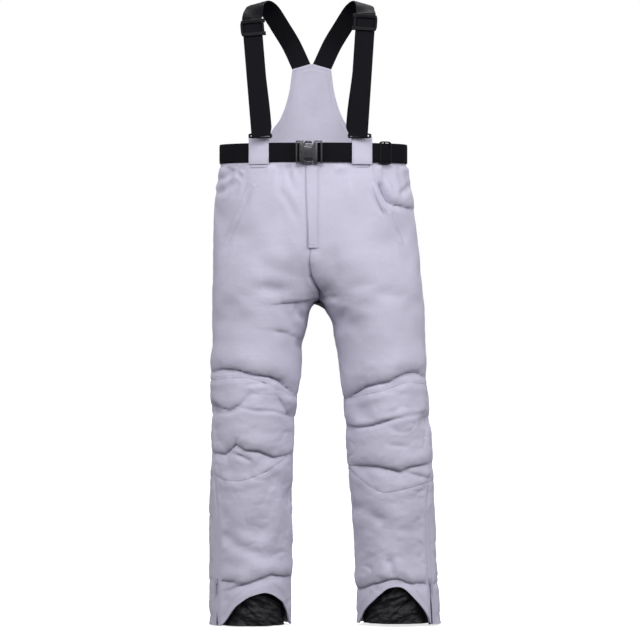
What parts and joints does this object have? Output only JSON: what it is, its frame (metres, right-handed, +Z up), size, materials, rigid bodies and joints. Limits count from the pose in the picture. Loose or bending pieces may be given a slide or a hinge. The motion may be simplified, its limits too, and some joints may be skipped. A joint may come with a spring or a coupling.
{
  "type": "ski pants",
  "caption": "Insulated ski pants standing as worn, with a high back bib, adjustable suspenders, a webbing belt with side-release buckle, articulated knees and zipped hems over inner gaiters.",
  "frame": {"origin": "centre of the waist opening, level with the waistband's top edge", "axes": "+Z up the body, -Y out of the front, +X to the wearer's left"},
  "size_m": [0.477, 0.2516, 1.2931],
  "materials": {
    "black_plastic": "moulded, satin",
    "buckle_plastic": "dark grey moulded, glossy",
    "gaiter_nylon": "thin crinkled black nylon",
    "gusset": "dark grey melange knit",
    "light_cloth": "matt microfibre shell, flat",
    "lining": "quilted black taffeta",
    "outer_cloth": "matt microfibre shell, padded",
    "webbing": "ribbed black webbing",
    "zip_metal": "dark nickel",
    "zip_tape": "black coil zip"
  },
  "bodies": {
    "root": {"back_bib": "light_cloth", "back_bib_lining": "light_cloth", "belt_returned_end": "webbing", "belt_right_end": "webbing", "belt_webbing": "webbing", "buckle_socket": "buckle_plastic", "crotch_gusset": "gusset", "fly_flap": "light_cloth", "left_back_belt_loop": "light_cloth", "left_back_knee_panel": "outer_cloth", "left_back_panel": "outer_cloth", "left_fly_zip_tape": "zip_tape", "left_front_panel": "outer_cloth", "left_front_tab": "light_cloth", "left_knee_panel": "outer_cloth", "left_pocket_bag": "lining", "left_pocket_welt": "light_cloth", "left_quilted_lining": "lining", "left_strap": "webbing", "left_strap_returned_end": "webbing", "left_strap_ring": "black_plastic", "left_waistband": "outer_cloth", "right_back_belt_loop": "light_cloth", "right_back_knee_panel": "outer_cloth", "right_back_panel": "outer_cloth", "right_fly_zip_tape": "zip_tape", "right_front_panel": "outer_cloth", "right_front_tab": "light_cloth", "right_knee_panel": "outer_cloth", "right_pocket_bag": "lining", "right_pocket_welt": "light_cloth", "right_quilted_lining": "lining", "right_strap": "webbing", "right_strap_returned_end": "webbing", "right_strap_ring": "black_plastic", "right_waistband": "outer_cloth", "waist_snap_cap": "zip_metal", "waist_snap_socket": "zip_metal"},
    "adjuster": {"belt_adjuster": "black_plastic"},
    "plug": {"buckle_plug": "buckle_plastic"},
    "fly_slider": {"fly_zip_slider": "zip_metal"},
    "left_hem_zip_pull": {"left_leg_zip_pull": "zip_metal"},
    "left_hem_zip_slider": {"left_leg_zip_slider": "zip_metal"},
    "left_lower_leg": {"left_leg_zip_tape_front": "zip_tape", "left_leg_zip_tape_rear": "zip_tape", "left_lower_back_panel": "outer_cloth", "left_lower_front_panel": "outer_cloth", "left_snow_gaiter": "gaiter_nylon"},
    "left_suspender_slider": {"left_strap_slider": "black_plastic"},
    "lower_latch": {"plug_arm_lower": "buckle_plastic"},
    "upper_latch": {"plug_arm_upper": "buckle_plastic"},
    "right_hem_zip_pull": {"right_leg_zip_pull": "zip_metal"},
    "right_hem_zip_slider": {"right_leg_zip_slider": "zip_metal"},
    "right_lower_leg": {"right_leg_zip_tape_front": "zip_tape", "right_leg_zip_tape_rear": "zip_tape", "right_lower_back_panel": "outer_cloth", "right_lower_front_panel": "outer_cloth", "right_snow_gaiter": "gaiter_nylon"},
    "right_suspender_slider": {"right_strap_slider": "black_plastic"}
  },
  "joints": [
    {"name": "right_knee", "type": "hinge", "parent": "root", "child": "right_lower_leg", "pos_m": [-0.1245, -0.006, -0.593], "axis": [1, 0, 0], "range_deg": [0, 90], "deforming": ["right_knee_panel", "right_back_knee_panel", "right_quilted_lining"]},
    {"name": "right_hem_zip", "type": "slide", "parent": "right_lower_leg", "child": "right_hem_zip_slider", "axis": [0.0017, -0.0081, 1], "range_m": [-0.075, 0.085]},
    {"name": "right_hem_zip_pull", "type": "hinge", "parent": "right_hem_zip_slider", "child": "right_hem_zip_pull", "pos_m": [-0.20213, -0.04402, -0.90951], "axis": [-0.6113, 0.7914, 0.0075], "range_deg": [0, 120]},
    {"name": "right_suspender_slide", "type": "slide", "parent": "root", "child": "right_suspender_slider", "axis": [0.0825, -0.0451, -0.9956], "range_m": [0, 0.13], "deforming": ["right_strap_returned_end"]},
    {"name": "left_knee", "type": "hinge", "parent": "root", "child": "left_lower_leg", "pos_m": [0.1545, -0.006, -0.593], "axis": [1, 0, 0], "range_deg": [0, 90], "deforming": ["left_knee_panel", "left_back_knee_panel", "left_quilted_lining"]},
    {"name": "left_hem_zip", "type": "slide", "parent": "left_lower_leg", "child": "left_hem_zip_slider", "axis": [-0.0563, -0.0081, 0.9984], "range_m": [-0.075, 0.085]},
    {"name": "left_hem_zip_pull", "type": "hinge", "parent": "left_hem_zip_slider", "child": "left_hem_zip_pull", "pos_m": [0.24532, -0.04403, -0.90933], "axis": [-0.6126, -0.7893, -0.041], "range_deg": [0, 120]},
    {"name": "left_suspender_slide", "type": "slide", "parent": "root", "child": "left_suspender_slider", "axis": [-0.0658, -0.043, -0.9969], "range_m": [0, 0.13], "deforming": ["left_strap_returned_end"]},
    {"name": "fly_zip", "type": "slide", "parent": "root", "child": "fly_slider", "axis": [0.0007, -0.0594, -0.9982], "range_m": [0, 0.11]},
    {"name": "buckle_release", "type": "slide", "parent": "root", "child": "plug", "axis": [-1, 0, 0], "range_m": [0, 0.034], "deforming": ["belt_right_end", "plug_arm_upper", "plug_arm_lower"]},
    {"name": "upper_latch_squeeze", "type": "hinge", "parent": "plug", "child": "upper_latch", "pos_m": [-0.0246, -0.1109, -0.0105], "axis": [0, 1, 0], "range_deg": [0, 10], "stiffness_Nm_per_rad": 1},
    {"name": "lower_latch_squeeze", "type": "hinge", "parent": "plug", "child": "lower_latch", "pos_m": [-0.0246, -0.1109, -0.0305], "axis": [0, 1, 0], "range_deg": [-10, 0], "stiffness_Nm_per_rad": 1},
    {"name": "belt_adjust", "type": "hinge", "parent": "root", "child": "adjuster", "pos_m": [0.05866, 0.07924, -0.0205], "axis": [0, 0, 1], "range_deg": [0, 5.5], "deforming": ["belt_returned_end"]}
  ],
  "couplings": [
    {"joint": "lower_latch_squeeze", "follows": "upper_latch_squeeze", "ratio": -1}
  ]
}
